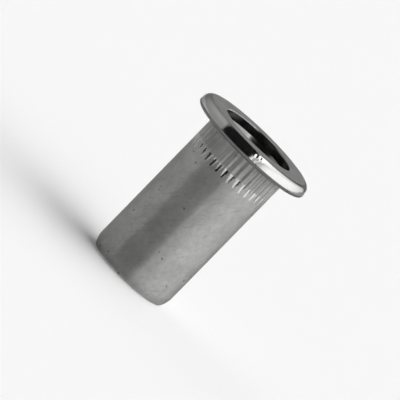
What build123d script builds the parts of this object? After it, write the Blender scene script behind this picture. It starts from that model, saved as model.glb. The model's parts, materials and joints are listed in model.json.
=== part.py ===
"""Flat-head rivet nut, M8, with a knurled shank that is open at both ends.

Millimetres. The origin is on the axis, in the plane of the head's underside, which is the face
that seats on the sheet. +Z points out of the head, so the shank hangs down to -SHANK_LENGTH.
"""
from build123d import *
from math import cos, radians, sin, sqrt, tan
import os

# Thread: ISO metric coarse, whose crests are the plain bore that is modelled here.
THREAD_DIAMETER = 8.0
THREAD_PITCH = 1.25
THREAD_LENGTH = 9.0
THREAD_DEPTH_SHARE = 5 / 8  # of the sharp 60 degree triangle's height, from crest to root

# Shank: a thin sleeve, which folds as the nut is set, over the thick threaded end.
SHANK_DIAMETER = 11.0
SHANK_LENGTH = 20.0
SLEEVE_WALL = 1.05

# Tail: the end drawn in by an arc, so that the nut finds its hole.
TAPER_HEIGHT = 1.6
TAPER_DROP = 0.45
TAIL_CORNER_RADIUS = 0.3
TAIL_CHAMFER = 0.1  # how far the lead-in chamfer reaches past the thread's roots

# Head: a flat disc, whose rim leans in a little and is rounded over, more at the top than below.
HEAD_DIAMETER = 16.0
HEAD_THICKNESS = 1.5
RIM_LEAN = 6.0
RIM_TOP_RADIUS = 0.75
RIM_CORNER_RADIUS = 0.42

# Mouth: the wider step of the bore through the head.
MOUTH_STEP = 0.43
MOUTH_DEPTH = 1.0
MOUTH_CHAMFER = 0.1

# Cones between the steps of the bore, measured from the axis.
CONE_ANGLE = 45.0

# Knurl: straight, narrow flutes under the head, which stop the nut from turning in its hole.
KNURL_COUNT = 38
KNURL_LENGTH = 3.8
KNURL_DEPTH = 0.12
KNURL_RUNOUT = 1.2
KNURL_FLANK_ANGLE = 40.0  # each flank's slope from the shank's surface
KNURL_FLOOR_WIDTH = 0.16
TOOTH_CLEARANCE = 0.05  # how far the cutting tooth stands out of the shank

THREAD_DEPTH = THREAD_DEPTH_SHARE * THREAD_PITCH * sqrt(3) / 2
THREAD_ROOT_RADIUS = THREAD_DIAMETER / 2
THREAD_CREST_RADIUS = THREAD_ROOT_RADIUS - THREAD_DEPTH
SHANK_RADIUS = SHANK_DIAMETER / 2
BORE_RADIUS = SHANK_RADIUS - SLEEVE_WALL
MOUTH_RADIUS = BORE_RADIUS + MOUTH_STEP
HEAD_RADIUS = HEAD_DIAMETER / 2
FOOT_RADIUS = SHANK_RADIUS - TAPER_DROP
TAIL_Z = -SHANK_LENGTH


def revolved(outline):
    """A closed outline in the X-Z plane, turned about the axis."""
    return revolve(Plane.XZ * make_face(outline), Axis.Z)


def rim_corner(height):
    """Sharp corner of the rim at a height, on its leaning line, which is set out from its widest point."""
    lean = radians(RIM_LEAN)
    reach = RIM_CORNER_RADIUS - (height - RIM_CORNER_RADIUS) * sin(lean)
    return (HEAD_RADIUS - RIM_CORNER_RADIUS + reach / cos(lean), height)


def rounded(section, corner, radius):
    """A section with one of its corners rounded."""
    return fillet(section.vertices().sort_by_distance(corner)[0], radius)


def blank():
    """Head, shank and drawn-in tail, before anything is cut."""
    taper_top = (SHANK_RADIUS, TAIL_Z + TAPER_HEIGHT)
    foot = (FOOT_RADIUS, TAIL_Z)
    rim_bottom = rim_corner(0)
    rim_top = rim_corner(HEAD_THICKNESS)
    head = Polyline((SHANK_RADIUS, 0), rim_bottom, rim_top, (0, HEAD_THICKNESS), (0, TAIL_Z), foot)
    taper = TangentArc(taper_top, foot, tangent=(0, -1))
    shank = Polyline(taper_top, (SHANK_RADIUS, 0))
    section = make_face(head + taper + shank)
    section = rounded(section, rim_bottom, RIM_CORNER_RADIUS)
    section = rounded(section, rim_top, RIM_TOP_RADIUS)
    section = rounded(section, foot, TAIL_CORNER_RADIUS)
    return revolve(Plane.XZ * section, Axis.Z)


def cone_height(wide, narrow):
    """Height of a cone between two steps of the bore."""
    return (wide - narrow) / tan(radians(CONE_ANGLE))


def stepped_bore():
    """What is removed through the middle: mouth, sleeve bore, thread's core and tail chamfer."""
    chamfer_radius = THREAD_ROOT_RADIUS + TAIL_CHAMFER
    thread_bottom = TAIL_Z + cone_height(chamfer_radius, THREAD_CREST_RADIUS)
    thread_top = thread_bottom + THREAD_LENGTH
    bore_bottom = thread_top + cone_height(BORE_RADIUS, THREAD_CREST_RADIUS)
    mouth_floor = HEAD_THICKNESS - MOUTH_DEPTH
    bore_top = mouth_floor - cone_height(MOUTH_RADIUS, BORE_RADIUS)
    return revolved(
        Polyline(
            (0, TAIL_Z),
            (chamfer_radius, TAIL_Z),
            (THREAD_CREST_RADIUS, thread_bottom),
            (THREAD_CREST_RADIUS, thread_top),
            (BORE_RADIUS, bore_bottom),
            (BORE_RADIUS, bore_top),
            (MOUTH_RADIUS, mouth_floor),
            (MOUTH_RADIUS, HEAD_THICKNESS - MOUTH_CHAMFER),
            (MOUTH_RADIUS + MOUTH_CHAMFER, HEAD_THICKNESS),
            (0, HEAD_THICKNESS),
            close=True,
        )
    )


def tooth_section():
    """Section of the tooth that presses one flute: a blunt wedge, its tip on the Y axis."""
    height = KNURL_DEPTH + TOOTH_CLEARANCE
    half_floor = KNURL_FLOOR_WIDTH / 2
    half_width = half_floor + height / tan(radians(KNURL_FLANK_ANGLE))
    return make_face(
        Polyline((0, -half_floor), (0, half_floor), (height, half_width), (height, -half_width), close=True)
    )


def flute():
    """What one tooth presses out: a straight run from the head, then a ramp up to the surface."""
    section = Pos(SHANK_RADIUS - KNURL_DEPTH, 0, 0) * tooth_section()
    straight_length = KNURL_LENGTH - KNURL_RUNOUT
    straight = extrude(section, straight_length, dir=(0, 0, -1))
    overrun = 1 + TOOTH_CLEARANCE / KNURL_DEPTH
    climb = Vector(KNURL_DEPTH, 0, -KNURL_RUNOUT) * overrun
    ramp = extrude(Pos(0, 0, -straight_length) * section, climb.length, dir=climb)
    return straight + ramp


def knurl():
    """Every flute, spaced evenly round the shank."""
    return PolarLocations(0, KNURL_COUNT) * flute()


def rivet_nut():
    """The whole nut, one piece of steel."""
    return blank() - stepped_bore() - knurl()


os.makedirs("parts", exist_ok=True)
export_step(rivet_nut(), "parts/rivet_nut.step")
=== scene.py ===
import json
import math

import bpy
from bpy.props import FloatProperty, FloatVectorProperty, IntProperty, PointerProperty
from mathutils import Matrix, Vector


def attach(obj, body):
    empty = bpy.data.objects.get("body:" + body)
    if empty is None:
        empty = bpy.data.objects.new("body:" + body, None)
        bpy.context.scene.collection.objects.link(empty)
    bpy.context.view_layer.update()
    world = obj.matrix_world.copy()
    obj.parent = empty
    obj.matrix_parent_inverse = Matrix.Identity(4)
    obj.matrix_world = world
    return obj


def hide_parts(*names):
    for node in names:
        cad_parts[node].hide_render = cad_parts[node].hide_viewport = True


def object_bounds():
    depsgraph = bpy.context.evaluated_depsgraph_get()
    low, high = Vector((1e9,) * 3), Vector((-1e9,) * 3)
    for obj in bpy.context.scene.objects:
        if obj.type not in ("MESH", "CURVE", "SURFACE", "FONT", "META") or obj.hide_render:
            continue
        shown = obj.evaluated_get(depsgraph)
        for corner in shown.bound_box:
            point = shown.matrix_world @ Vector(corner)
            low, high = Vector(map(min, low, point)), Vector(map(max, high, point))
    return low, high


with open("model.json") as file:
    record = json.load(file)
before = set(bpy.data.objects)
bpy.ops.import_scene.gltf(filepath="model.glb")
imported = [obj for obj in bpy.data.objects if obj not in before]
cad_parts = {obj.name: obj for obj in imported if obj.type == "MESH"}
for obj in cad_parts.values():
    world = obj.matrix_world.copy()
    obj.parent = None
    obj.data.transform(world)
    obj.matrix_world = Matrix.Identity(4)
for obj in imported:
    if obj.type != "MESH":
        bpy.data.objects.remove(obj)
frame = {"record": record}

bl_info = {
    "name": "Rivet nut",
    "version": (1, 0, 0),
    "blender": (4, 5, 0),
    "location": "View3D > Sidebar > Rivet nut",
    "description": "Makes a flat-head rivet nut with a knurled shank, and the studio round it",
    "category": "Object",
}

# Units are metres. The origin is on the axis, in the plane of the head's underside, and +Z
# points out of the head.
MM = 0.001
NODE = "rivet_nut"
CAD_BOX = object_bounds()
MOUNTS = {mount["name"]: mount for mount in frame["record"]["mounts"]}

# The nut stays inside the CAD's box, whose facets fall a little short of the true circle.
HEAD_REACH = min(CAD_BOX[1].x, CAD_BOX[1].y, -CAD_BOX[0].x, -CAD_BOX[0].y)
FRONT = -3.3  # bearing of the nut's front in degrees, from -Y towards +X


def mount_radius(name):
    """Radius of a round mount, in metres."""
    return MOUNTS[name]["dims"]["r_mm"] * MM


# ----------------------------------------
# Settings
# ----------------------------------------


def length(name, default, description):
    """A length in metres."""
    return FloatProperty(
        name=name, description=description, default=default, min=0.0, unit="LENGTH", precision=6
    )


def angle(name, degrees, description):
    """An angle, whose default is given in degrees."""
    return FloatProperty(
        name=name, description=description, default=math.radians(degrees), subtype="ANGLE"
    )


def factor(name, default, description):
    """A share from 0 to 1."""
    return FloatProperty(
        name=name, description=description, default=default, min=0.0, max=1.0, subtype="FACTOR"
    )


def brightness(name, default, description):
    """The brightness of a light, where 1 is white."""
    return FloatProperty(name=name, description=description, default=default, min=0.0)


def colour(name, default, description):
    """A linear colour."""
    return FloatVectorProperty(
        name=name,
        description=description,
        default=default,
        size=3,
        min=0.0,
        max=1.0,
        subtype="COLOR",
    )


class NutSizes(bpy.types.PropertyGroup):
    """Sizes of the nut."""

    head_radius: length("Head radius", HEAD_REACH, "Radius of the head over its rounded rim")
    head_top: length("Head thickness", CAD_BOX[1].z, "Thickness of the head")
    shank_radius: length("Shank radius", mount_radius("shank"), "Radius of the plain shank")
    shank_length: length("Shank length", -CAD_BOX[0].z, "Length under the head")
    taper_height: length("Taper height", 1.6 * MM, "Height of the drawn-in tail")
    taper_drop: length("Taper drop", 0.45 * MM, "How far the tail is drawn in")
    tail_corner: length("Tail corner", 0.3 * MM, "Radius of the tail's outer corner")
    bore_radius: length("Bore radius", mount_radius("sleeve_bore"), "Radius inside the sleeve")
    mouth_radius: length("Mouth radius", mount_radius("mouth"), "Radius of the head's wide step")
    mouth_depth: length("Mouth depth", 1.0 * MM, "Depth of the wide step")
    rim_round: length("Rim round", 0.75 * MM, "Radius of the rim's rounding at the top")
    rim_foot: length("Rim foot", 0.38 * MM, "Radius of the rim's rounding below")
    rim_lean: angle("Rim lean", 9, "Lean of the rim between its two roundings")
    polish_height: length("Polish height", 0.41 * MM, "Height above which the rim is bright")
    mouth_chamfer: length("Mouth chamfer", 0.1 * MM, "Width of the chamfer round the mouth")
    edge_break: length("Edge break", 0.03 * MM, "Radius that handling leaves on a turned edge")
    thread_radius: length("Thread crest radius", mount_radius("thread"), "Radius at the crests")
    thread_root: length("Thread root radius", 4.0 * MM, "Radius in the thread's roots")
    thread_pitch: length("Thread pitch", 1.25 * MM, "Rise of the thread in one turn")
    thread_length: length("Thread length", 9.0 * MM, "Length of the whole thread")
    tail_chamfer: length("Tail chamfer", 0.1 * MM, "How far the tail's chamfer passes the roots")
    knurl_count: IntProperty(name="Flutes", description="Flutes round the shank", default=38, min=3)
    knurl_length: length("Knurl length", 3.8 * MM, "Length of the flutes under the head")
    knurl_depth: length("Knurl depth", 0.15 * MM, "Depth of a flute")
    knurl_runout: length("Knurl run-out", 1.15 * MM, "Length of the ramp that ends a flute")
    knurl_curve: factor("Run-out curve", 0.1, "How far the run-out is hollowed from a ramp")
    knurl_flank: angle("Flank angle", 30, "Slope of a flute's flanks")
    knurl_floor: length("Floor width", 0.14 * MM, "Width of a flute's flat floor")
    knurl_root: length("Root rounding", 0.02 * MM, "How softly a flute's floor meets its flanks")
    knurl_crest: length("Crest rounding", 0.02 * MM, "Softness of the edges between flutes")


class NutFinish(bpy.types.PropertyGroup):
    """Colours and gloss of the nut."""

    satin: colour("Satin plating", (0.32, 0.32, 0.315), "Colour of the dull plated skin")
    flat: colour("Head's top", (0.46, 0.46, 0.455), "Colour of the head's top")
    # Darker than the plating elsewhere: painted shade under the head and its rim.
    under: colour("Rim's underside", (0.155, 0.155, 0.152), "Colour under the head and its rim")
    polished: colour("Polished rim", (0.42, 0.42, 0.415), "Colour of the rolled, bright rim")
    # Darker than the plating outside: painted shade in the hole, on a smoother drawn finish.
    bore: colour("Bore", (0.18, 0.18, 0.176), "Colour inside the bore and thread")
    burnished: colour("Burnished flutes", (0.34, 0.34, 0.335), "Colour where the flutes end")
    burnish_roughness: factor("Burnish roughness", 0.05, "Roughness where the flutes end")
    edge_tint: colour("Edge tint", (0.55, 0.55, 0.55), "Brightness of the dull skin at a glance")
    rim_edge: colour("Rim's edge tint", (0.4, 0.4, 0.4), "Brightness of the rim at a glance")
    satin_roughness: factor("Satin roughness", 0.42, "Roughness of the dull skin")
    flat_roughness: factor("Flat roughness", 0.36, "Roughness of the head's flats")
    rim_roughness: factor("Rim roughness", 0.08, "Roughness of the bright rim")
    bore_roughness: factor("Bore roughness", 0.18, "Roughness inside the bore")


class StudioSettings(bpy.types.PropertyGroup):
    """Floor, light and camera."""

    floor_size: length("Floor size", 8.0, "Side of the floor")
    floor_colour: colour("Floor", (0.98, 0.98, 0.98), "Colour of the floor")
    wall_light: brightness("Wall light", 0.69, "Brightness of the pale walls")
    wall_foot: factor("Wall foot", 0.78, "Brightness at the walls' foot, against higher up")
    dark_light: brightness("Dark light", 0.02, "Brightness behind the camera")
    panel_low: brightness("Panel edge", 0.62, "Brightness of the panel's near, low edge")
    panel_frame: brightness("Panel frame", 1.6, "Extra light from the panel's frame")
    panel_high: brightness("Panel", 2.2, "Brightness of the panel")
    camera_azimuth: angle("Camera azimuth", FRONT, "Turn of the camera about the axis")
    camera_elevation: angle("Camera elevation", 9.15, "How steeply the camera looks down")
    camera_roll: angle("Camera roll", 44.3, "Turn of the camera about its view")
    camera_distance: length("Camera distance", 1.1, "Distance from the camera to its target")
    view_width: length("View width", 45.15 * MM, "Width that the camera sees at its target")
    head_aside: length("Head aside", 6.66 * MM, "How far right of the middle the head lies")
    head_raised: length("Head raised", 6.81 * MM, "How far above the middle the head lies")


# ----------------------------------------
# Node helpers
# ----------------------------------------

# Sockets of a Mix node that mixes colours. Its other kinds share their names.
MIX_SHARE, MIX_FIRST, MIX_SECOND = 0, 6, 7
MIX_COLOUR = 2

# The kind of a group's input, by the kind of its default.
SOCKETS = {
    int: "NodeSocketInt",
    float: "NodeSocketFloat",
    tuple: "NodeSocketVector",
    bpy.types.Material: "NodeSocketMaterial",
}


class Nodes:
    """A short way to add nodes to a tree and join them up."""

    def __init__(self, tree):
        self.tree = tree

    def put(self, socket, value):
        """Sets a socket, or links it where the value is another node's output."""
        if isinstance(value, bpy.types.NodeSocket):
            self.tree.links.new(value, socket)
        else:
            socket.default_value = value

    def add(self, kind, *inputs, **settings):
        """A new node. Settings name its properties, and inputs fill its sockets in order."""
        node = self.tree.nodes.new(kind)
        for key, value in settings.items():
            setattr(node, key, value)
        for number, value in enumerate(inputs):
            self.put(node.inputs[number], value)
        return node

    def fill(self, node, inputs):
        """Fills a node's inputs by name."""
        for name, value in inputs.items():
            self.put(node.inputs[name], value)
        return node

    def named(self, kind, inputs, **settings):
        """A new node whose inputs are filled by name."""
        return self.fill(self.add(kind, **settings), inputs)

    def group(self, tree, inputs):
        """A shader node that holds a group, with its inputs filled by name."""
        return self.named("ShaderNodeGroup", inputs, node_tree=tree)

    def maths(self, operation, *inputs):
        """The result of one operation on the inputs."""
        return self.add("ShaderNodeMath", *inputs, operation=operation).outputs[0]

    def product(self, *values):
        """The values multiplied together."""
        result = values[0]
        for value in values[1:]:
            result = self.maths("MULTIPLY", result, value)
        return result

    def choose(self, test, off, on):
        """A value that goes from off to on as the test goes from 0 to 1."""
        return self.maths("MULTIPLY_ADD", test, self.maths("SUBTRACT", on, off), off)

    def ramp(self, value, low, high, out_low=0.0, out_high=1.0, smooth=True):
        """The value's place between low and high, as a share between the two outputs."""
        node = self.add("ShaderNodeMapRange", value, low, high, out_low, out_high, clamp=True)
        node.interpolation_type = "SMOOTHSTEP" if smooth else "LINEAR"
        return node.outputs[0]

    def blend(self, share, first, second):
        """A colour between two colours."""
        node = self.add("ShaderNodeMix", data_type="RGBA")
        self.put(node.inputs[MIX_SHARE], share)
        self.put(node.inputs[MIX_FIRST], first)
        self.put(node.inputs[MIX_SECOND], second)
        return node.outputs[MIX_COLOUR]

    def off_axis(self, place):
        """A place's distance from the axis, and its height."""
        parts = self.add("ShaderNodeSeparateXYZ", place)
        flat = self.add("ShaderNodeCombineXYZ", parts.outputs["X"], parts.outputs["Y"], 0.0)
        size = self.add("ShaderNodeVectorMath", flat.outputs[0], operation="LENGTH")
        return size.outputs["Value"], parts.outputs["Z"]


def group_inputs(tree, nodes, first, defaults):
    """Gives a group its inputs: a first one, "Geometry" or "Vector", and one for each default.

    Returns the sockets that bring them in, by name.
    """
    tree.interface.new_socket(name=first, in_out="INPUT", socket_type="NodeSocket" + first)
    for name, default in defaults.items():
        kind = SOCKETS[type(default)]
        socket = tree.interface.new_socket(name=name, in_out="INPUT", socket_type=kind)
        socket.default_value = default
    return nodes.add("NodeGroupInput").outputs


# ----------------------------------------
# The nut's section
# ----------------------------------------

HOLD = 0.02 * MM  # from a rounded corner's arc to the point that keeps the wall beside it flat
ROOM = 3  # holds that a wall must have room for, to be given such a point

# Rows of faces in each rounding, in the tail's arc and up the thread.
EDGE_STEPS = 2
RIM_STEPS = 9
TAPER_STEPS = 7
TAIL_STEPS = 5
ROWS_PER_PITCH = 15
RAMP_ROW = 0.07 * MM  # height of the rows of faces on the ramps that end the flutes
ROWS_PAST = 3  # of these rows, past the ramps' ends
NEAR_HEAD = 4  # edge breaks between the head and the shank's first row


def rounded_corner(before, corner, after, radius, steps):
    """Points of the arc that rounds one corner of an outline."""
    to_before = (before - corner).normalized()
    to_after = (after - corner).normalized()
    half = to_before.angle(to_after) / 2
    reach = radius / math.tan(half)
    middle = corner + (to_before + to_after).normalized() * (radius / math.sin(half))
    first = corner + to_before * reach - middle
    last = corner + to_after * reach - middle
    sweep = first.angle_signed(last)
    return [middle + Matrix.Rotation(-sweep * k / steps, 2) @ first for k in range(steps + 1)]


def held(arc, before, after):
    """The arc with a point just before and just after it, so that the walls beside it look flat."""
    ahead = arc[0] + (before - arc[0]).normalized() * HOLD
    behind = arc[-1] + (after - arc[-1]).normalized() * HOLD
    points = [ahead] if (before - arc[0]).length > ROOM * HOLD else []
    points += arc
    return points + [behind] if (after - arc[-1]).length > ROOM * HOLD else points


def stations(start, stop, step):
    """Evenly spaced heights from start down to stop, both included."""
    count = max(1, math.ceil((start - stop) / step))
    return [start + (stop - start) * k / count for k in range(count + 1)]


def thread_rows(s, foot_inner, top):
    """Points up the thread: its tail chamfer, the crests and the cone above, in equal steps."""
    step = s.thread_pitch / ROWS_PER_PITCH
    root_top = top + s.thread_root - s.thread_radius
    rows = []
    for z in reversed(stations(root_top, -s.shank_length + step, step)):
        radius = max(s.thread_radius, foot_inner - (z + s.shank_length), s.thread_radius + z - top)
        rows.append((radius, z))
    return rows


def rim_centres(s):
    """Centres of the rim's two roundings in the section: at the top, and below.

    Between them the rim leans in a little towards the top, so it is widest at the lower one.
    """
    foot = Vector((s.head_radius - s.rim_foot, s.rim_foot))
    top_height = s.head_top - s.rim_round
    rise = top_height - foot.y + (s.rim_round - s.rim_foot) * math.sin(s.rim_lean)
    inwards = (s.rim_foot - s.rim_round) * math.cos(s.rim_lean) - rise * math.tan(s.rim_lean)
    return Vector((foot.x + inwards, top_height)), foot


def rim_points(s):
    """Points of the rounded rim, from the head's top out and round to its underside."""
    top, foot = rim_centres(s)
    points = [(top.x - HOLD, s.head_top)]
    quarter = math.pi / 2
    for centre, radius, start, end in (
        (top, s.rim_round, quarter, s.rim_lean),
        (foot, s.rim_foot, s.rim_lean, -quarter),
    ):
        for k in range(RIM_STEPS + 1):
            tilt = start + (end - start) * k / RIM_STEPS
            points.append((centre.x + radius * math.cos(tilt), centre.y + radius * math.sin(tilt)))
    return points + [(foot.x - HOLD, 0)]


def knurl_rows(s):
    """Points down the knurl: one near the head, then evenly down the ramp that ends each flute."""
    ramp_top = s.knurl_runout - s.knurl_length
    below = -s.knurl_length - ROWS_PAST * RAMP_ROW
    heights = [-NEAR_HEAD * s.edge_break] + stations(ramp_top + RAMP_ROW, below, RAMP_ROW)
    return [(s.shank_radius, z) for z in heights]


def taper_points(s):
    """Points of the tail's arc, down to the foot. The arc leaves the shank straight."""
    radius = (s.taper_height**2 + s.taper_drop**2) / (2 * s.taper_drop)
    top = s.taper_height - s.shank_length
    sweep = math.asin(s.taper_height / radius)
    points = []
    for k in range(TAPER_STEPS + 1):
        turn = sweep * k / TAPER_STEPS
        inward = radius * (1 - math.cos(turn))
        points.append((s.shank_radius - inward, top - radius * math.sin(turn)))
    return points


def section_corners(s):
    """Corners of the nut's section, each a point, a rounding and the steps of its arc.

    They go up the bore, over the head and down the outside.
    """
    foot_inner = s.thread_root + s.tail_chamfer
    thread_bottom = -s.shank_length + foot_inner - s.thread_radius
    thread_top = thread_bottom + s.thread_length
    bore_bottom = thread_top + s.bore_radius - s.thread_radius
    mouth_floor = s.head_top - s.mouth_depth
    bore_top = mouth_floor - (s.mouth_radius - s.bore_radius)
    taper = taper_points(s)

    def broken(*points):
        return [(point, s.edge_break, EDGE_STEPS) for point in points]

    def unrounded(*points):
        return [(point, 0, 0) for point in points]

    corners = broken((foot_inner, -s.shank_length))
    corners += unrounded(*thread_rows(s, foot_inner, thread_top))
    corners += broken(
        (s.bore_radius, bore_bottom),
        (s.bore_radius, bore_top),
        (s.mouth_radius, mouth_floor),
        (s.mouth_radius, s.head_top - s.mouth_chamfer),
        (s.mouth_radius + s.mouth_chamfer, s.head_top),
    )
    corners += unrounded(*rim_points(s))
    corners += broken((s.shank_radius, 0))
    corners += unrounded(*knurl_rows(s), *taper[:-1])
    return corners + [(taper[-1], s.tail_corner, TAIL_STEPS)]


def section_outline(s):
    """The nut's section as a closed ring of edges in the X-Z plane, in order."""
    corners = section_corners(s)
    points = []
    for number, (place, radius, steps) in enumerate(corners):
        place = Vector(place)
        if radius == 0:
            points.append(place)
            continue
        before = Vector(corners[number - 1][0])
        after = Vector(corners[(number + 1) % len(corners)][0])
        points += held(rounded_corner(before, place, after, radius, steps), before, after)
    edges = [(k, (k + 1) % len(points)) for k in range(len(points))]
    mesh = bpy.data.meshes.new("nut_section")
    mesh.from_pydata([(p.x, 0.0, p.y) for p in points], edges, [])
    return mesh


# ----------------------------------------
# The nut's shape
# ----------------------------------------

SEGMENTS_PER_FLUTE = 12
GATHERING = 0.45  # how strongly the columns crowd into the flutes, from 0 to 1
CREST_HALF = 1 / 8  # of a pitch, from the middle of a crest to where its flank starts
ROOT_HALF = 7 / 16  # of a pitch, from the middle of a crest to where the flat root starts
SAME_RADIUS = 0.001 * MM  # how near to the shank's radius a row has to be to get flutes
MERGE_DISTANCE = 0.0005 * MM  # joins the last column and row to the first ones
HEAD_FROM = -0.01 * MM  # height above which a face is part of the head


def turned_grid(nodes, given):
    """A flat grid, with the turn round the axis, radius and height that each point belongs at.

    Its columns go round the axis and its rows along the section. The last column and the last
    row lie on the first, and close the shape.
    """
    around = nodes.maths("ADD", given["Segments"], 1.0)
    along = nodes.maths("ADD", given["Rows"], 1.0)
    grid = nodes.add("GeometryNodeMeshGrid", 1.0, 1.0, around, along)
    index = nodes.add("GeometryNodeInputIndex").outputs[0]
    # A half keeps the quotient clear of the whole numbers, which rounding could take it below.
    column = nodes.maths("FLOOR", nodes.maths("DIVIDE", nodes.maths("ADD", index, 0.5), along))
    row = nodes.maths("SUBTRACT", index, nodes.product(column, along))
    sample = nodes.named(
        "GeometryNodeSampleIndex",
        {
            "Geometry": given["Geometry"],
            "Value": nodes.add("GeometryNodeInputPosition").outputs[0],
            "Index": nodes.maths("FLOORED_MODULO", row, given["Rows"]),
        },
        data_type="FLOAT_VECTOR",
        domain="POINT",
    )
    station = nodes.add("ShaderNodeSeparateXYZ", sample.outputs[0])
    turn = nodes.product(nodes.maths("DIVIDE", column, given["Segments"]), 2 * math.pi)
    return grid.outputs["Mesh"], turn, station.outputs["X"], station.outputs["Z"]


def gathered(nodes, given, turn):
    """A turn moved towards the nearest flute's middle, so that columns crowd into the flutes."""
    half_pitch = nodes.maths("DIVIDE", math.pi, given["Flute Count"])
    aside = nodes.maths("WRAP", turn, half_pitch, nodes.product(half_pitch, -1.0))
    share = nodes.maths("DIVIDE", aside, half_pitch)
    outer = nodes.maths("SUBTRACT", 1.0, nodes.product(share, share))
    return nodes.maths("SUBTRACT", turn, nodes.product(aside, outer, given["Gathering"]))


def fluted_radius(nodes, given, radius, height, turn):
    """Radius of the shank where the flutes are pressed in."""
    half_pitch = nodes.maths("DIVIDE", math.pi, given["Flute Count"])
    across = nodes.product(nodes.maths("PINGPONG", turn, half_pitch), given["Shank Radius"])
    half_floor = nodes.maths("DIVIDE", given["Floor Width"], 2.0)
    off_floor = nodes.maths("MAXIMUM", nodes.maths("SUBTRACT", across, half_floor), 0.0)
    flank = nodes.product(off_floor, given["Flank Slope"])
    squares = [nodes.maths("POWER", side, 2.0) for side in (flank, given["Root Rounding"])]
    rise = nodes.maths("SQRT", nodes.maths("ADD", *squares))
    rise = nodes.maths("SUBTRACT", rise, given["Root Rounding"])

    straight = nodes.maths("SUBTRACT", given["Flute Length"], given["Run-out"])
    past = nodes.maths("SUBTRACT", nodes.product(height, -1.0), straight)
    share = nodes.maths("DIVIDE", nodes.maths("MAXIMUM", past, 0.0), given["Run-out"])
    short = nodes.maths("SUBTRACT", share, 1.0)
    bend = nodes.maths("MULTIPLY_ADD", short, given["Run-out Curve"], 1.0)
    lift = nodes.product(share, bend, given["Flute Depth"])

    floor = nodes.maths("SUBTRACT", given["Shank Radius"], given["Flute Depth"])
    flute = nodes.maths("ADD", nodes.maths("ADD", floor, lift), rise)
    cut = nodes.maths("SMOOTH_MIN", radius, flute, given["Crest Rounding"])
    outside = nodes.maths("COMPARE", radius, given["Shank Radius"], SAME_RADIUS)
    return nodes.choose(outside, radius, cut)


def threaded_radius(nodes, given, radius, height, turn):
    """Radius of the bore where the right-hand thread's roots are cut."""
    turns = nodes.maths("DIVIDE", turn, 2 * math.pi)
    phase = nodes.maths("SUBTRACT", nodes.maths("DIVIDE", height, given["Pitch"]), turns)
    from_crest = nodes.maths("PINGPONG", phase, 0.5)
    share = nodes.ramp(from_crest, CREST_HALF, ROOT_HALF, smooth=False)
    depth = nodes.maths("SUBTRACT", given["Thread Root Radius"], given["Thread Crest Radius"])
    root = nodes.maths("MULTIPLY_ADD", share, depth, given["Thread Crest Radius"])
    return nodes.maths("MAXIMUM", radius, root)


def coated(nodes, given, shape):
    """The shape with its finishes."""
    size, height = nodes.off_axis(nodes.add("GeometryNodeInputPosition").outputs[0])
    on_head = nodes.maths("GREATER_THAN", height, HEAD_FROM)
    low = nodes.maths("LESS_THAN", height, given["Polish Height"])
    high = nodes.maths("GREATER_THAN", height, given["Polish Height"])
    off_mouth = nodes.maths("GREATER_THAN", size, given["Mouth Radius"])
    in_mouth = nodes.maths("LESS_THAN", size, given["Mouth Radius"])
    on_rim = nodes.maths("GREATER_THAN", size, given["Rim Start"])
    in_thread = nodes.maths("LESS_THAN", size, given["Thread Root Radius"])
    # A pitch up from the tail is clear of its flat ring and its rounded corner.
    tail_top = nodes.maths("ADD", given["Tail Height"], given["Pitch"])
    off_tail = nodes.maths("GREATER_THAN", height, tail_top)
    coats = {  # in order, so a later one covers an earlier one
        "Satin": True,
        "Flat": on_head,
        # Painted shade: the underside of the head and its rim takes a darker colour.
        "Under Shade": nodes.product(off_mouth, on_head, low),
        # Painted shade: the mouth, bore and thread take a darker colour.
        "Shaded Bore": nodes.product(in_mouth, nodes.maths("MAXIMUM", off_tail, in_thread)),
        "Bright": nodes.product(on_rim, high),
    }
    for name, where in coats.items():
        inputs = {"Geometry": shape, "Selection": where, "Material": given[name]}
        shape = nodes.named("GeometryNodeSetMaterial", inputs).outputs[0]
    return shape


def nut_tree(values):
    """A tree that turns a section into the nut, closed, with its flutes and its thread.

    Its inputs are the section and the values, by name.
    """
    tree = bpy.data.node_groups.new("Turned nut", "GeometryNodeTree")
    tree.is_modifier = True
    nodes = Nodes(tree)
    given = group_inputs(tree, nodes, "Geometry", values)
    tree.interface.new_socket(name="Geometry", in_out="OUTPUT", socket_type="NodeSocketGeometry")

    grid, turn, radius, height = turned_grid(nodes, given)
    turn = gathered(nodes, given, turn)
    outer = fluted_radius(nodes, given, radius, height, turn)
    inner = threaded_radius(nodes, given, radius, height, turn)
    in_thread = nodes.maths("LESS_THAN", radius, given["Thread Root Radius"])
    radius = nodes.choose(in_thread, outer, inner)
    x = nodes.product(radius, nodes.maths("COSINE", turn))
    y = nodes.product(radius, nodes.maths("SINE", turn))
    position = nodes.add("ShaderNodeCombineXYZ", x, y, height).outputs[0]

    moved = nodes.named("GeometryNodeSetPosition", {"Geometry": grid, "Position": position})
    merging = {"Geometry": moved.outputs[0], "Distance": MERGE_DISTANCE}
    merged = nodes.named("GeometryNodeMergeByDistance", merging)
    outwards = nodes.add("GeometryNodeFlipFaces", merged.outputs[0])
    smooth = nodes.add("GeometryNodeSetShadeSmooth", outwards.outputs[0])
    real = nodes.add("GeometryNodeRealizeInstances", smooth.outputs[0])
    nodes.add("NodeGroupOutput", coated(nodes, given, real.outputs[0]))
    return tree


def set_inputs(modifier, values):
    """Sets a Geometry Nodes modifier's inputs, by the identifiers of the named sockets."""
    for item in modifier.node_group.interface.items_tree:
        if item.item_type == "SOCKET" and item.in_out == "INPUT" and item.name in values:
            modifier[item.identifier] = values[item.name]


def finished_mesh(piece, name):
    """A plain mesh of a piece with its modifiers worked out."""
    depsgraph = bpy.context.evaluated_depsgraph_get()
    mesh = bpy.data.meshes.new_from_object(piece.evaluated_get(depsgraph))
    mesh.name = name
    return mesh


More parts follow.
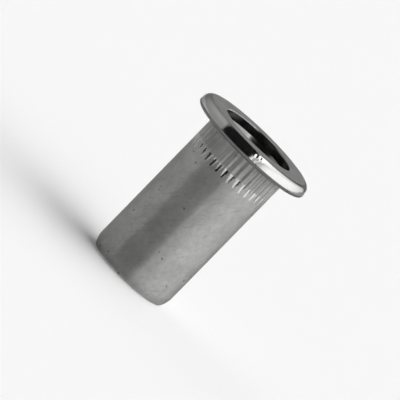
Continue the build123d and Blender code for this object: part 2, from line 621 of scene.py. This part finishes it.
def build_nut(sizes, finish):
    """The whole nut as one piece."""
    outline = section_outline(sizes)
    effects = shared_effects()
    values = {
        "Segments": sizes.knurl_count * SEGMENTS_PER_FLUTE,
        "Rows": len(outline.vertices),
        "Gathering": GATHERING,
        "Shank Radius": sizes.shank_radius,
        "Flute Count": sizes.knurl_count,
        "Flute Length": sizes.knurl_length,
        "Flute Depth": sizes.knurl_depth,
        "Run-out": sizes.knurl_runout,
        "Run-out Curve": sizes.knurl_curve,
        "Flank Slope": math.tan(sizes.knurl_flank),
        "Floor Width": sizes.knurl_floor,
        "Root Rounding": sizes.knurl_root,
        "Crest Rounding": sizes.knurl_crest,
        "Thread Crest Radius": sizes.thread_radius,
        "Thread Root Radius": sizes.thread_root,
        "Pitch": sizes.thread_pitch,
        "Mouth Radius": sizes.mouth_radius + sizes.mouth_chamfer,
        "Tail Height": -sizes.shank_length,
        "Rim Start": rim_centres(sizes)[0].x,
        "Polish Height": sizes.polish_height,
        "Satin": shank_steel(sizes, finish, effects),
        "Flat": dull_steel("head_steel", finish.flat, finish, effects),
        # The underside's darker colour is painted shade.
        "Under Shade": dull_steel("rim_underside_shaded_steel", finish.under, finish, effects),
        "Bright": bright_steel(sizes, finish, effects),
        # The bore's darker colour is painted shade.
        "Shaded Bore": shaded_bore_steel(finish, effects),
    }
    piece = bpy.data.objects.new("turned_nut", outline)
    bpy.context.scene.collection.objects.link(piece)
    modifier = piece.modifiers.new("Turned nut", "NODES")
    modifier.node_group = nut_tree(values)
    set_inputs(modifier, values)
    mesh = finished_mesh(piece, "turned_nut")
    piece.modifiers.clear()
    piece.data = mesh
    bpy.data.meshes.remove(outline)
    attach(piece, "root")
    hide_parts(NODE)


# ----------------------------------------
# Shared effects of the finishes
# ----------------------------------------

CLOUD_DETAIL, GRAIN_DETAIL = 4.0, 3.0
NOISE_ROUGHNESS = 0.6
NOISE_LOW, NOISE_HIGH = 0.3, 0.7  # the part of a noise's range that is used
SMALLEST_PIT = 0.5  # of the largest
PIT_FLOOR = 0.6  # of a pit's radius, where its wall starts
MARK_DETAIL = 2.0
MARK_LEVEL = 0.8  # of the noise, above which it is a mark where the marks' share is 0
MARK_FALL = 0.4  # how far that level falls as the share goes to 1
MARK_EDGE = 0.06  # of the noise, over which a mark comes in


def effect(name, defaults, *outputs):
    """A shader group with a vector, further inputs and outputs by name.

    Returns it, its nodes and the sockets that bring its inputs in.
    """
    tree = bpy.data.node_groups.new(name, "ShaderNodeTree")
    nodes = Nodes(tree)
    given = group_inputs(tree, nodes, "Vector", defaults)
    for output in outputs:
        tree.interface.new_socket(name=output, in_out="OUTPUT", socket_type="NodeSocketFloat")
    return tree, nodes, given


def mottle_group():
    """Cloudy patches and fine grain, each from 0 to 1."""
    defaults = {"Cloud Size": 2.0 * MM, "Grain Size": 0.2 * MM}
    tree, nodes, given = effect("Mottle", defaults, "Cloud", "Grain")
    values = []
    for size, detail in (("Cloud Size", CLOUD_DETAIL), ("Grain Size", GRAIN_DETAIL)):
        pattern = {
            "Vector": given["Vector"],
            "Scale": nodes.maths("DIVIDE", 1.0, given[size]),
            "Detail": detail,
            "Roughness": NOISE_ROUGHNESS,
        }
        noise = nodes.named("ShaderNodeTexNoise", pattern)
        values.append(nodes.ramp(noise.outputs[0], NOISE_LOW, NOISE_HIGH, smooth=False))
    nodes.add("NodeGroupOutput", *values)
    return tree


def speck_group():
    """Small round pits, scattered: 1 in a pit."""
    defaults = {"Spacing": 1.0 * MM, "Size": 0.12, "Share": 0.2}
    tree, nodes, given = effect("Specks", defaults, "Mask")
    scale = nodes.maths("DIVIDE", 1.0, given["Spacing"])
    cells = nodes.named("ShaderNodeTexVoronoi", {"Vector": given["Vector"], "Scale": scale})
    chance = nodes.add("ShaderNodeSeparateColor", cells.outputs["Color"])
    chosen = nodes.maths("LESS_THAN", chance.outputs[0], given["Share"])
    size = nodes.product(given["Size"], nodes.ramp(chance.outputs[1], 0.0, 1.0, SMALLEST_PIT, 1.0))
    apart = nodes.maths("DIVIDE", cells.outputs["Distance"], size)
    near = nodes.ramp(apart, PIT_FLOOR, 1.0, 1.0, 0.0)
    nodes.add("NodeGroupOutput", nodes.product(near, chosen))
    return tree


def scratch_group():
    """Fine marks that wind round the axis at a slant: 1 in a mark."""
    defaults = {"Twist": 180.0, "Spacing": 0.4 * MM, "Length": 12.0, "Share": 0.3}
    tree, nodes, given = effect("Slanting marks", defaults, "Mask")
    height = nodes.add("ShaderNodeSeparateXYZ", given["Vector"]).outputs["Z"]
    wind = {"Vector": given["Vector"], "Angle": nodes.product(height, given["Twist"])}
    turned = nodes.named("ShaderNodeVectorRotate", wind, rotation_type="Z_AXIS")
    parts = nodes.add("ShaderNodeSeparateXYZ", turned.outputs[0])
    flat = nodes.maths("DIVIDE", parts.outputs["Z"], given["Length"])
    stretched = nodes.add("ShaderNodeCombineXYZ", parts.outputs["X"], parts.outputs["Y"], flat)
    pattern = {
        "Vector": stretched.outputs[0],
        "Scale": nodes.maths("DIVIDE", 1.0, given["Spacing"]),
        "Detail": MARK_DETAIL,
    }
    noise = nodes.named("ShaderNodeTexNoise", pattern)
    start = nodes.maths("SUBTRACT", MARK_LEVEL, nodes.product(given["Share"], MARK_FALL))
    full = nodes.maths("ADD", start, MARK_EDGE)
    nodes.add("NodeGroupOutput", nodes.ramp(noise.outputs[0], start, full, smooth=False))
    return tree


def dent_group():
    """A round dent about a place: 1 in its middle, falling smoothly to 0."""
    defaults = {"Place": (0.0, 0.0, 0.0), "Size": 0.3 * MM}
    tree, nodes, given = effect("Dent", defaults, "Depth")
    places = (given["Vector"], given["Place"])
    apart = nodes.add("ShaderNodeVectorMath", *places, operation="DISTANCE")
    share = nodes.maths("DIVIDE", apart.outputs["Value"], given["Size"])
    nodes.add("NodeGroupOutput", nodes.ramp(share, 0.0, 1.0, 1.0, 0.0))
    return tree


def shared_effects():
    """The groups that several finishes share."""
    return {
        "mottle": mottle_group(),
        "specks": speck_group(),
        "marks": scratch_group(),
        "dent": dent_group(),
    }


# ----------------------------------------
# Finishes
# ----------------------------------------

# Inputs of the effects, as each finish uses them.
CLOUDS = {"Cloud Size": 2.2 * MM, "Grain Size": 0.24 * MM}
PATCHES = {"Cloud Size": 0.6 * MM}
PITS = {"Spacing": 1.2 * MM, "Size": 0.17, "Share": 0.45}
SLANTS = {"Twist": -160.0, "Spacing": 0.4 * MM, "Length": 3.0, "Share": 0.5}
RIPPLES = {"Cloud Size": 0.7 * MM, "Grain Size": 0.15 * MM}
DRAWN_MARKS = {"Cloud Size": 1.0 * MM, "Grain Size": 0.2 * MM}

# How much each pattern changes a colour, and what it blends in.
CLOUD_TONE, GRAIN_TONE, PATCH_TONE = 0.24, 0.07, 0.2
RIPPLE_TONE = 0.06
DRAWN_TONE = 0.1
PIT_COLOUR, PIT_STRENGTH = (0.05, 0.05, 0.05, 1.0), 0.7
SLANT_COLOUR, SLANT_STRENGTH = (0.12, 0.12, 0.12, 1.0), 0.18

# The relief of each finish. The dull skin's patterns are as many times the grain's height.
GRAIN_HEIGHT = 0.002 * MM
CLOUD_RELIEF, PATCH_RELIEF, PIT_RELIEF = 6.0, 2.0, -4.0
DRAWN_HEIGHT = 0.003 * MM
RIPPLE_HEIGHT = 0.005  # in millimetres, as the dents' depths are

# How far the patterns take each roughness under and over its middle.
SKIN_UNEVEN = (0.03, 0.03)
RIM_UNEVEN = (0.02, 0.04)
BORE_UNEVEN = (0.03, 0.04)

TURNED_LINES = 0.95  # how strongly the turned lines draw reflections out
ACROSS_LINES = 0.25  # of a turn, from along the lines to across them
BURNISH_FADE = 0.3 * MM
BURNISH_DEPTH = 0.01 * MM

# Dents in the rim: bearing to the right of the front in degrees, then height above the head's
# underside, size and depth in millimetres. A negative depth is a raised burr.
RIM_DENTS = (
    (-11.5, 0.40, 0.26, -0.030),
    (-20.0, 0.95, 0.22, 0.018),
    (2.5, 1.34, 0.42, 0.018),
    (8.2, 1.15, 0.30, 0.020),
    (9.5, 0.62, 0.34, 0.022),
    (11.5, 0.90, 0.30, 0.022),
    (12.0, 1.23, 0.30, 0.020),
    (14.5, 1.08, 0.22, 0.014),
)


def new_material(name):
    """An empty material and its nodes."""
    material = bpy.data.materials.new(name)
    material.use_nodes = True
    material.node_tree.nodes.clear()
    return material, Nodes(material.node_tree)


def new_metal(name):
    """A metal. Returns it, its nodes, its shader and the place on the piece."""
    material, nodes = new_material(name)
    shader = nodes.named("ShaderNodeBsdfPrincipled", {"Metallic": 1.0})
    nodes.add("ShaderNodeOutputMaterial", shader.outputs[0])
    return material, nodes, shader, nodes.add("ShaderNodeTexCoord").outputs["Object"]


def opaque(tint):
    """A colour setting as a socket takes it."""
    return (*tint, 1.0)


def toned(nodes, tint, *changes):
    """A colour made lighter or darker by values from 0 to 1, each with its amount."""
    level = 1.0
    for value, amount in changes:
        shift = nodes.maths("MULTIPLY_ADD", nodes.maths("SUBTRACT", value, 0.5), amount, 1.0)
        level = nodes.product(level, shift)
    scaled = nodes.add("ShaderNodeVectorMath", tint, operation="SCALE")
    return nodes.fill(scaled, {"Scale": level}).outputs[0]


def uneven(nodes, value, roughness, reach):
    """A roughness that a value from 0 to 1 takes from under its middle to over it."""
    under, over = reach
    return nodes.ramp(value, 0.0, 1.0, roughness - under, roughness + over)


def relief(nodes, height, distance):
    """A normal that a height bends, where a height of 1 is as high as the distance."""
    bump = {"Strength": 1.0, "Distance": distance, "Height": height}
    return nodes.named("ShaderNodeBump", bump).outputs[0]


def around_axis(nodes, place):
    """The direction round the axis at a place, in which the turned surface's lines run."""
    vectors = ((0.0, 0.0, 1.0), place)
    return nodes.add("ShaderNodeVectorMath", *vectors, operation="CROSS_PRODUCT").outputs[0]


def speckled(nodes, effects, place, base):
    """A dull skin with clouds, grain, patches, pits and slanting marks.

    Returns its colour, its patches from 0 to 1 and its normal.
    """
    wide = nodes.group(effects["mottle"], {"Vector": place, **CLOUDS})
    cloud, grain = wide.outputs["Cloud"], wide.outputs["Grain"]
    patch = nodes.group(effects["mottle"], {"Vector": place, **PATCHES}).outputs["Cloud"]
    pit = nodes.group(effects["specks"], {"Vector": place, **PITS}).outputs[0]
    slant = nodes.group(effects["marks"], {"Vector": place, **SLANTS}).outputs[0]
    tint = toned(nodes, base, (cloud, CLOUD_TONE), (grain, GRAIN_TONE), (patch, PATCH_TONE))
    tint = nodes.blend(nodes.product(pit, PIT_STRENGTH), tint, PIT_COLOUR)
    tint = nodes.blend(nodes.product(slant, SLANT_STRENGTH), tint, SLANT_COLOUR)
    height = nodes.maths("MULTIPLY_ADD", patch, PATCH_RELIEF, grain)
    height = nodes.maths("MULTIPLY_ADD", cloud, CLOUD_RELIEF, height)
    height = nodes.maths("MULTIPLY_ADD", pit, PIT_RELIEF, height)
    return tint, patch, relief(nodes, height, GRAIN_HEIGHT)


def flute_end(nodes, sizes, place):
    """1 in the ramps that end the flutes, fading out up the flutes and at their edges."""
    size, height = nodes.off_axis(place)
    top = sizes.knurl_runout - sizes.knurl_length
    end = -sizes.knurl_length - RAMP_ROW
    rim = sizes.shank_radius
    low = nodes.ramp(height, top + BURNISH_FADE / 2, top - BURNISH_FADE / 2)
    high = nodes.ramp(height, end - RAMP_ROW, end)
    return nodes.product(low, high, nodes.ramp(size, rim - BURNISH_DEPTH, rim, 1.0, 0.0))


def shank_steel(sizes, finish, effects):
    """Dull plated steel whose turned lines draw its reflections out, burnished in flute ends."""
    material, nodes, shader, place = new_metal("shank_steel")
    tint, patch, normal = speckled(nodes, effects, place, finish.satin)
    bright = flute_end(nodes, sizes, place)
    rough = uneven(nodes, patch, finish.satin_roughness, SKIN_UNEVEN)
    look = {
        "Base Color": nodes.blend(bright, tint, opaque(finish.burnished)),
        "Roughness": nodes.choose(bright, rough, finish.burnish_roughness),
        "Anisotropic": TURNED_LINES,
        "Anisotropic Rotation": ACROSS_LINES,
        "Tangent": around_axis(nodes, place),
        "Specular Tint": opaque(finish.edge_tint),
        "Normal": normal,
    }
    nodes.fill(shader, look)
    return material


def dull_steel(name, base, finish, effects):
    """Dull plated steel with no lines in it, of the head's flats and the underside of its rim. The
    underside is given a darker colour, as painted shade.
    """
    material, nodes, shader, place = new_metal(name)
    tint, patch, normal = speckled(nodes, effects, place, base)
    look = {
        "Base Color": tint,
        "Roughness": uneven(nodes, patch, finish.flat_roughness, SKIN_UNEVEN),
        "Specular Tint": opaque(finish.edge_tint),
        "Normal": normal,
    }
    nodes.fill(shader, look)
    return material


def rim_place(sizes, bearing, height):
    """A place on the rounded rim."""
    top, _ = rim_centres(sizes)
    turn = math.radians(bearing + FRONT)
    up = max(height - top.y, sizes.rim_round * math.sin(sizes.rim_lean))
    reach = top.x + math.sqrt(max(sizes.rim_round**2 - up**2, 0.0))
    reach = min(reach + max(top.y - height, 0.0) * math.tan(sizes.rim_lean), sizes.head_radius)
    return (reach * math.sin(turn), -reach * math.cos(turn), height)


def bright_steel(sizes, finish, effects):
    """Steel that tools have rolled bright, a little wavy and with dents."""
    material, nodes, shader, place = new_metal("bright_steel")
    ripples = nodes.group(effects["mottle"], {"Vector": place, **RIPPLES})
    wave, grain = ripples.outputs["Cloud"], ripples.outputs["Grain"]
    height = nodes.product(wave, RIPPLE_HEIGHT)
    for bearing, up, size, depth in RIM_DENTS:
        spot = rim_place(sizes, bearing, up * MM)
        dent = nodes.group(effects["dent"], {"Vector": place, "Place": spot, "Size": size * MM})
        height = nodes.maths("MULTIPLY_ADD", dent.outputs[0], -depth, height)
    look = {
        "Base Color": toned(nodes, finish.polished, (wave, RIPPLE_TONE), (grain, RIPPLE_TONE)),
        "Roughness": uneven(nodes, wave, finish.rim_roughness, RIM_UNEVEN),
        "Specular Tint": opaque(finish.rim_edge),
        "Normal": relief(nodes, height, MM),
    }
    nodes.fill(shader, look)
    return material


def shaded_bore_steel(finish, effects):
    """Smooth drawn steel inside the bore and on the thread, given a darker colour than the outside
    as painted shade in the hole.
    """
    material, nodes, shader, place = new_metal("shaded_bore_steel")
    drawn = nodes.group(effects["mottle"], {"Vector": place, **DRAWN_MARKS})
    cloud, grain = drawn.outputs["Cloud"], drawn.outputs["Grain"]
    look = {
        "Base Color": toned(nodes, finish.bore, (cloud, DRAWN_TONE), (grain, DRAWN_TONE)),
        "Roughness": uneven(nodes, cloud, finish.bore_roughness, BORE_UNEVEN),
        "Normal": relief(nodes, cloud, DRAWN_HEIGHT),
    }
    nodes.fill(shader, look)
    return material


# ----------------------------------------
# The studio
# ----------------------------------------

FLOOR_GAP = 0.01 * MM  # keeps the flat ring of the foot clear of the floor
FOOT_REACH = 0.3 * MM  # mirrored rays shorter than this pass the floor, so the ring isn't black
CLIP_START, CLIP_END = 0.01, 20.0  # nearest and furthest that the camera sees
WHITE = (1.0, 1.0, 1.0, 1.0)

# The light is laid out by direction from the nut: X to the right of the camera, Y away from it and
# Z up. Each edge is given by its slopes along X, Y and Z and its level, and is bright where their
# sum is above 0.
ROOM_EDGE = (-1.0, 0.542, 0.0, -0.532)
PANEL_START = (0.989, 0.148, -0.2, -0.006)
PANEL_END = (0.857, -0.515, 0.57, 0.0)
BACK_WALL = (0.0, 0.25, -1.0, 0.1)
EDGE_SOFTNESS = 0.04

# Where the light changes: from and to, as distances past an edge or as heights.
PANEL_RISE = (0.15, 0.6)
PANEL_RISE_UP = (0.2, 1.0)
FRAME_FADE = (0.04, 0.14)
END_RISE = (0.0, 0.7)
WALL_RISE = (0.05, 0.7)
PANEL_END_LIGHT = 0.9  # share of the panel's light that is left at its end
GROUND = -0.02  # height below which all is white


def build_floor(studio):
    """A plain pale floor under the foot, which can't be seen from below."""
    side, level = studio.floor_size / 2, CAD_BOX[0].z - FLOOR_GAP
    corners = [(x * side, y * side, level) for x, y in ((-1, -1), (1, -1), (1, 1), (-1, 1))]
    mesh = bpy.data.meshes.new("floor")
    mesh.from_pydata(corners, [], [(0, 1, 2, 3)])
    floor = bpy.data.objects.new("floor", mesh)
    bpy.context.scene.collection.objects.link(floor)
    material, nodes = new_material("pale_floor")
    paint = {"Base Color": opaque(studio.floor_colour), "Roughness": 1.0, "Specular IOR Level": 0.0}
    painted = nodes.named("ShaderNodeBsdfPrincipled", paint)
    clear = nodes.add("ShaderNodeBsdfTransparent")
    ray = nodes.add("ShaderNodeLightPath")
    near = nodes.maths("LESS_THAN", ray.outputs["Ray Length"], FOOT_REACH)
    from_foot = nodes.product(near, ray.outputs["Is Glossy Ray"])
    behind = nodes.add("ShaderNodeNewGeometry").outputs["Backfacing"]
    unseen = nodes.maths("MAXIMUM", behind, from_foot)
    mix = nodes.add("ShaderNodeMixShader", unseen, painted.outputs[0], clear.outputs[0])
    nodes.add("ShaderNodeOutputMaterial", mix.outputs[0])
    mesh.materials.append(material)


def past_edge(nodes, direction, edge):
    """How far a direction lies on the bright side of an edge."""
    *slopes, level = edge
    side = nodes.add("ShaderNodeVectorMath", direction, slopes, operation="DOT_PRODUCT")
    return nodes.maths("ADD", side.outputs["Value"], level)


def soft(nodes, distance):
    """1 on the bright side of an edge and 0 on the other."""
    return nodes.ramp(distance, -EDGE_SOFTNESS, EDGE_SOFTNESS)


def build_light(studio):
    """Pale walls, a tall soft panel to the camera's right, and a dim room over and behind it."""
    world = bpy.data.worlds.new("studio")
    world.use_nodes = True
    world.node_tree.nodes.clear()
    nodes = Nodes(world.node_tree)
    sky = {
        "Vector": nodes.add("ShaderNodeTexCoord").outputs["Generated"],
        "Angle": -studio.camera_azimuth,
    }
    turned = nodes.named("ShaderNodeVectorRotate", sky, rotation_type="Z_AXIS")
    direction = turned.outputs[0]
    height = nodes.add("ShaderNodeSeparateXYZ", direction).outputs["Z"]

    after = past_edge(nodes, direction, PANEL_START)
    short_of = past_edge(nodes, direction, PANEL_END)
    panel = nodes.product(soft(nodes, after), soft(nodes, short_of))
    across, up = nodes.ramp(after, *PANEL_RISE), nodes.ramp(height, *PANEL_RISE_UP)
    well_in = nodes.maths("MAXIMUM", across, up)
    glow = nodes.choose(well_in, studio.panel_low, studio.panel_high)
    frame_light = nodes.ramp(after, *FRAME_FADE, studio.panel_frame, 0.0)
    glow = nodes.maths("ADD", glow, frame_light)
    glow = nodes.product(glow, nodes.ramp(short_of, *END_RISE, PANEL_END_LIGHT, 1.0))

    left = soft(nodes, past_edge(nodes, direction, ROOM_EDGE))
    back = soft(nodes, past_edge(nodes, direction, BACK_WALL))
    walls = nodes.maths("MAXIMUM", left, back)
    light = nodes.ramp(walls, 0.0, 1.0, studio.dark_light, studio.wall_light, smooth=False)
    light = nodes.product(light, nodes.ramp(height, *WALL_RISE, studio.wall_foot, 1.0))
    light = nodes.choose(panel, light, glow)
    light = nodes.choose(nodes.maths("LESS_THAN", height, GROUND), light, 1.0)
    background = nodes.add("ShaderNodeBackground", WHITE, light)
    nodes.add("ShaderNodeOutputWorld", background.outputs[0])
    bpy.context.scene.world = world


def build_camera(studio):
    """A long lens, a little above the nut and rolled, so that the nut lies slanted in the view."""
    azimuth, elevation = studio.camera_azimuth, studio.camera_elevation
    level = math.cos(elevation)
    back = Vector((math.sin(azimuth) * level, -math.cos(azimuth) * level, math.sin(elevation)))
    upright = back.to_track_quat("Z", "Y").to_matrix()
    turn = upright @ Matrix.Rotation(studio.camera_roll, 3, "Z")
    right, up = turn.col[0], turn.col[1]
    head_top = Vector((0.0, 0.0, CAD_BOX[1].z))
    centre = head_top - right * studio.head_aside - up * studio.head_raised
    data = bpy.data.cameras.new("camera")
    data.lens = data.sensor_width * studio.camera_distance / studio.view_width
    data.clip_start, data.clip_end = CLIP_START, CLIP_END
    camera = bpy.data.objects.new("camera", data)
    bpy.context.scene.collection.objects.link(camera)
    camera.matrix_world = Matrix.Translation(centre + back * studio.camera_distance) @ turn.to_4x4()
    bpy.context.scene.camera = camera


# ----------------------------------------
# Operators, panel and registration
# ----------------------------------------


class NUT_OT_build(bpy.types.Operator):
    """Make the rivet nut."""

    bl_idname = "nut.build"
    bl_label = "Make the nut"

    def execute(self, context):
        build_nut(context.scene.nut_sizes, context.scene.nut_finish)
        return {"FINISHED"}


class NUT_OT_stage(bpy.types.Operator):
    """Set the floor, the light and the camera."""

    bl_idname = "nut.stage"
    bl_label = "Set the studio"

    def execute(self, context):
        studio = context.scene.nut_studio
        build_floor(studio)
        build_light(studio)
        build_camera(studio)
        context.scene.view_settings.view_transform = "Standard"
        return {"FINISHED"}


class NUT_PT_panel(bpy.types.Panel):
    """Lists the operators, each with the settings that it uses."""

    bl_idname = "NUT_PT_panel"
    bl_label = "Rivet nut"
    bl_space_type = "VIEW_3D"
    bl_region_type = "UI"
    bl_category = "Rivet nut"

    def draw(self, context):
        scene = context.scene
        used = {
            "nut.build": (scene.nut_sizes, scene.nut_finish),
            "nut.stage": (scene.nut_studio,),
        }
        for operator, groups in used.items():
            self.layout.operator(operator)
            for group in groups:
                for name in type(group).__annotations__:
                    self.layout.prop(group, name)


CLASSES = (NutSizes, NutFinish, StudioSettings, NUT_OT_build, NUT_OT_stage, NUT_PT_panel)


def register():
    """Registers the classes, and puts the settings on the scene."""
    for cls in CLASSES:
        bpy.utils.register_class(cls)
    bpy.types.Scene.nut_sizes = PointerProperty(type=NutSizes)
    bpy.types.Scene.nut_finish = PointerProperty(type=NutFinish)
    bpy.types.Scene.nut_studio = PointerProperty(type=StudioSettings)


def unregister():
    """Takes the settings off the scene and unregisters the classes."""
    del bpy.types.Scene.nut_studio
    del bpy.types.Scene.nut_finish
    del bpy.types.Scene.nut_sizes
    for cls in reversed(CLASSES):
        bpy.utils.unregister_class(cls)


def main():
    """Makes the nut and its studio."""
    register()
    bpy.ops.nut.build()
    bpy.ops.nut.stage()


if __name__ == "__main__":
    main()
